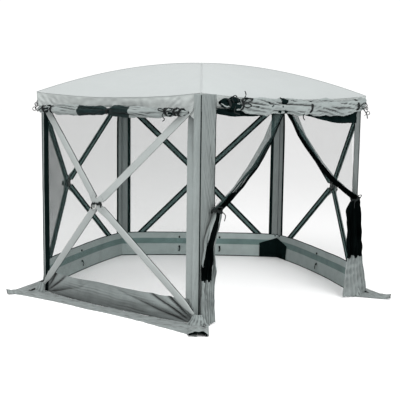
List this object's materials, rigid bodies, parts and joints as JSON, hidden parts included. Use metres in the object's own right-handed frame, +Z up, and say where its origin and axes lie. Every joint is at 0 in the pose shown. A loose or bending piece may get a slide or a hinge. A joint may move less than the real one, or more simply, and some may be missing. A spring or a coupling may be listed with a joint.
{
  "type": "screen house",
  "caption": "Free-standing pop-up screen house with netting walls, a domed cloth roof, hub-and-pole frame and a doorway with curtains tied back.",
  "frame": {"origin": "on the ground, at the centre of the footprint that the skirt's tongues span", "axes": "+Z up; one corner points along -Y, and the doorway faces between +X and -Y"},
  "size_m": [3.4162, 3.249, 2.03],
  "materials": {
    "roof_cloth": "woven polyester, coated",
    "grey_cloth": "woven polyester",
    "netting": "fine insect netting",
    "pole": "fibreglass rod with metal ferrules",
    "fitting": "moulded nylon",
    "ring": "welded wire"
  },
  "bodies": {
    "shelter": {"bottom_bracket_back_left": "fitting", "bottom_bracket_back_right": "fitting", "bottom_bracket_front": "fitting", "bottom_bracket_left": "fitting", "bottom_bracket_right": "fitting", "corner_strip_back_left": "grey_cloth", "corner_strip_back_right": "grey_cloth", "corner_strip_front": "grey_cloth", "corner_strip_left": "grey_cloth", "corner_strip_right": "grey_cloth", "door_curtain_left": "netting", "door_curtain_right": "netting", "door_panel_roll": "grey_cloth", "ground_skirt": "grey_cloth", "kick_panel_back": "grey_cloth", "kick_panel_front_left": "grey_cloth", "kick_panel_left": "grey_cloth", "kick_panel_right": "grey_cloth", "mesh_panel_back": "netting", "mesh_panel_front_left": "netting", "mesh_panel_left": "netting", "mesh_panel_right": "netting", "roof_canopy": "roof_cloth", "roof_valance": "grey_cloth", "top_bracket_back_left": "fitting", "top_bracket_back_right": "fitting", "top_bracket_front": "fitting", "top_bracket_left": "fitting", "top_bracket_right": "fitting", "wind_panel_roll": "grey_cloth"},
    "wall_hub_front_left": {"wall_hub_front_left": "fitting", "pull_ring_front_left": "ring"},
    "pole_front_left_upper_left": {"pole_front_left_upper_left": "pole"},
    "pole_front_left_upper_right": {"pole_front_left_upper_right": "pole"},
    "pole_front_left_lower_left": {"pole_front_left_lower_left": "pole"},
    "pole_front_left_lower_right": {"pole_front_left_lower_right": "pole"},
    "wall_hub_left": {"wall_hub_left": "fitting", "pull_ring_left": "ring"},
    "pole_left_upper_left": {"pole_left_upper_left": "pole"},
    "pole_left_upper_right": {"pole_left_upper_right": "pole"},
    "pole_left_lower_left": {"pole_left_lower_left": "pole"},
    "pole_left_lower_right": {"pole_left_lower_right": "pole"},
    "wall_hub_back": {"wall_hub_back": "fitting", "pull_ring_back": "ring"},
    "pole_back_upper_left": {"pole_back_upper_left": "pole"},
    "pole_back_upper_right": {"pole_back_upper_right": "pole"},
    "pole_back_lower_left": {"pole_back_lower_left": "pole"},
    "pole_back_lower_right": {"pole_back_lower_right": "pole"},
    "wall_hub_right": {"wall_hub_right": "fitting", "pull_ring_right": "ring"},
    "pole_right_upper_left": {"pole_right_upper_left": "pole"},
    "pole_right_upper_right": {"pole_right_upper_right": "pole"},
    "pole_right_lower_left": {"pole_right_lower_left": "pole"},
    "pole_right_lower_right": {"pole_right_lower_right": "pole"},
    "roof_hub": {"roof_hub": "fitting"},
    "pole_roof_front": {"pole_roof_front": "pole"},
    "pole_roof_right": {"pole_roof_right": "pole"},
    "pole_roof_back_right": {"pole_roof_back_right": "pole"},
    "pole_roof_back_left": {"pole_roof_back_left": "pole"},
    "pole_roof_left": {"pole_roof_left": "pole"}
  },
  "joints": [
    {"name": "front_left_wall_pop", "type": "slide", "parent": "shelter", "child": "wall_hub_front_left", "axis": [-0.5878, -0.809, 0], "range_m": [-0.3674, 0], "deforming": ["mesh_panel_front_left", "kick_panel_front_left"]},
    {"name": "pole_front_left_upper_left_hinge", "type": "hinge", "parent": "shelter", "child": "pole_front_left_upper_left", "pos_m": [-1.37569, -0.32099, 1.68968], "axis": [0.5642, -0.4099, 0.7167], "range_deg": [0, 18.77]},
    {"name": "pole_front_left_upper_right_hinge", "type": "hinge", "parent": "shelter", "child": "pole_front_left_upper_right", "pos_m": [-0.01855, -1.30701, 1.68968], "axis": [0.5642, -0.4099, -0.7167], "range_deg": [0, 18.77]},
    {"name": "pole_front_left_lower_left_hinge", "type": "hinge", "parent": "shelter", "child": "pole_front_left_lower_left", "pos_m": [-1.37569, -0.32099, 0.05732], "axis": [-0.5642, 0.4099, 0.7167], "range_deg": [0, 18.77]},
    {"name": "pole_front_left_lower_right_hinge", "type": "hinge", "parent": "shelter", "child": "pole_front_left_lower_right", "pos_m": [-0.01855, -1.30701, 0.05732], "axis": [-0.5642, 0.4099, -0.7167], "range_deg": [0, 18.77]},
    {"name": "left_wall_pop", "type": "slide", "parent": "shelter", "child": "wall_hub_left", "axis": [-0.9511, 0.309, 0], "range_m": [-0.3674, 0], "deforming": ["mesh_panel_left", "kick_panel_left"]},
    {"name": "pole_left_upper_left_hinge", "type": "hinge", "parent": "shelter", "child": "pole_left_upper_left", "pos_m": [-0.86878, 1.30972, 1.68968], "axis": [-0.2155, -0.6633, 0.7167], "range_deg": [0, 18.77]},
    {"name": "pole_left_upper_right_hinge", "type": "hinge", "parent": "shelter", "child": "pole_left_upper_right", "pos_m": [-1.38716, -0.2857, 1.68968], "axis": [-0.2155, -0.6633, -0.7167], "range_deg": [0, 18.77]},
    {"name": "pole_left_lower_left_hinge", "type": "hinge", "parent": "shelter", "child": "pole_left_lower_left", "pos_m": [-0.86878, 1.30972, 0.05732], "axis": [0.2155, 0.6633, 0.7167], "range_deg": [0, 18.77]},
    {"name": "pole_left_lower_right_hinge", "type": "hinge", "parent": "shelter", "child": "pole_left_lower_right", "pos_m": [-1.38716, -0.2857, 0.05732], "axis": [0.2155, 0.6633, -0.7167], "range_deg": [0, 18.77]},
    {"name": "back_wall_pop", "type": "slide", "parent": "shelter", "child": "wall_hub_back", "axis": [0, 1, 0], "range_m": [-0.3674, 0], "deforming": ["mesh_panel_back", "kick_panel_back"]},
    {"name": "pole_back_upper_left_hinge", "type": "hinge", "parent": "shelter", "child": "pole_back_upper_left", "pos_m": [0.83876, 1.33153, 1.68968], "axis": [-0.6974, 0, 0.7167], "range_deg": [0, 18.77]},
    {"name": "pole_back_upper_right_hinge", "type": "hinge", "parent": "shelter", "child": "pole_back_upper_right", "pos_m": [-0.83876, 1.33153, 1.68968], "axis": [-0.6974, 0, -0.7167], "range_deg": [0, 18.77]},
    {"name": "pole_back_lower_left_hinge", "type": "hinge", "parent": "shelter", "child": "pole_back_lower_left", "pos_m": [0.83876, 1.33153, 0.05732], "axis": [0.6974, 0, 0.7167], "range_deg": [0, 18.77]},
    {"name": "pole_back_lower_right_hinge", "type": "hinge", "parent": "shelter", "child": "pole_back_lower_right", "pos_m": [-0.83876, 1.33153, 0.05732], "axis": [0.6974, 0, -0.7167], "range_deg": [0, 18.77]},
    {"name": "right_wall_pop", "type": "slide", "parent": "shelter", "child": "wall_hub_right", "axis": [0.9511, 0.309, 0], "range_m": [-0.3674, 0], "deforming": ["mesh_panel_right", "kick_panel_right"]},
    {"name": "pole_right_upper_left_hinge", "type": "hinge", "parent": "shelter", "child": "pole_right_upper_left", "pos_m": [1.38716, -0.2857, 1.68968], "axis": [-0.2155, 0.6633, 0.7167], "range_deg": [0, 18.77]},
    {"name": "pole_right_upper_right_hinge", "type": "hinge", "parent": "shelter", "child": "pole_right_upper_right", "pos_m": [0.86878, 1.30972, 1.68968], "axis": [-0.2155, 0.6633, -0.7167], "range_deg": [0, 18.77]},
    {"name": "pole_right_lower_left_hinge", "type": "hinge", "parent": "shelter", "child": "pole_right_lower_left", "pos_m": [1.38716, -0.2857, 0.05732], "axis": [0.2155, -0.6633, 0.7167], "range_deg": [0, 18.77]},
    {"name": "pole_right_lower_right_hinge", "type": "hinge", "parent": "shelter", "child": "pole_right_lower_right", "pos_m": [0.86878, 1.30972, 0.05732], "axis": [0.2155, -0.6633, -0.7167], "range_deg": [0, 18.77]},
    {"name": "roof_pop", "type": "slide", "parent": "shelter", "child": "roof_hub", "axis": [0, 0, 1], "range_m": [-0.5467, 0], "deforming": ["roof_canopy"]},
    {"name": "pole_roof_front_hinge", "type": "hinge", "parent": "shelter", "child": "pole_roof_front", "pos_m": [0, -1.28449, 1.73447], "axis": [1, 0, 0], "range_deg": [-22.9, 0]},
    {"name": "pole_roof_right_hinge", "type": "hinge", "parent": "shelter", "child": "pole_roof_right", "pos_m": [1.36001, -0.29639, 1.73447], "axis": [0.309, 0.9511, 0], "range_deg": [-22.9, 0]},
    {"name": "pole_roof_back_right_hinge", "type": "hinge", "parent": "shelter", "child": "pole_roof_back_right", "pos_m": [0.84053, 1.3024, 1.73447], "axis": [-0.809, 0.5878, 0], "range_deg": [-22.9, 0]},
    {"name": "pole_roof_back_left_hinge", "type": "hinge", "parent": "shelter", "child": "pole_roof_back_left", "pos_m": [-0.84053, 1.3024, 1.73447], "axis": [-0.809, -0.5878, 0], "range_deg": [-22.9, 0]},
    {"name": "pole_roof_left_hinge", "type": "hinge", "parent": "shelter", "child": "pole_roof_left", "pos_m": [-1.36001, -0.29639, 1.73447], "axis": [0.309, -0.9511, 0], "range_deg": [-22.9, 0]}
  ],
  "couplings": [
    {"joint": "pole_front_left_upper_left_hinge", "follows": "front_left_wall_pop", "rad_per_m": -0.88238},
    {"joint": "pole_front_left_upper_right_hinge", "follows": "front_left_wall_pop", "rad_per_m": -0.88238},
    {"joint": "pole_front_left_lower_left_hinge", "follows": "front_left_wall_pop", "rad_per_m": -0.88238},
    {"joint": "pole_front_left_lower_right_hinge", "follows": "front_left_wall_pop", "rad_per_m": -0.88238},
    {"joint": "pole_left_upper_left_hinge", "follows": "left_wall_pop", "rad_per_m": -0.88238},
    {"joint": "pole_left_upper_right_hinge", "follows": "left_wall_pop", "rad_per_m": -0.88238},
    {"joint": "pole_left_lower_left_hinge", "follows": "left_wall_pop", "rad_per_m": -0.88238},
    {"joint": "pole_left_lower_right_hinge", "follows": "left_wall_pop", "rad_per_m": -0.88238},
    {"joint": "pole_back_upper_left_hinge", "follows": "back_wall_pop", "rad_per_m": -0.88238},
    {"joint": "pole_back_upper_right_hinge", "follows": "back_wall_pop", "rad_per_m": -0.88238},
    {"joint": "pole_back_lower_left_hinge", "follows": "back_wall_pop", "rad_per_m": -0.88238},
    {"joint": "pole_back_lower_right_hinge", "follows": "back_wall_pop", "rad_per_m": -0.88238},
    {"joint": "pole_right_upper_left_hinge", "follows": "right_wall_pop", "rad_per_m": -0.88238},
    {"joint": "pole_right_upper_right_hinge", "follows": "right_wall_pop", "rad_per_m": -0.88238},
    {"joint": "pole_right_lower_left_hinge", "follows": "right_wall_pop", "rad_per_m": -0.88238},
    {"joint": "pole_right_lower_right_hinge", "follows": "right_wall_pop", "rad_per_m": -0.88238},
    {"joint": "pole_roof_front_hinge", "follows": "roof_pop", "rad_per_m": 0.72146},
    {"joint": "pole_roof_right_hinge", "follows": "roof_pop", "rad_per_m": 0.72146},
    {"joint": "pole_roof_back_right_hinge", "follows": "roof_pop", "rad_per_m": 0.72146},
    {"joint": "pole_roof_back_left_hinge", "follows": "roof_pop", "rad_per_m": 0.72146},
    {"joint": "pole_roof_left_hinge", "follows": "roof_pop", "rad_per_m": 0.72146}
  ]
}
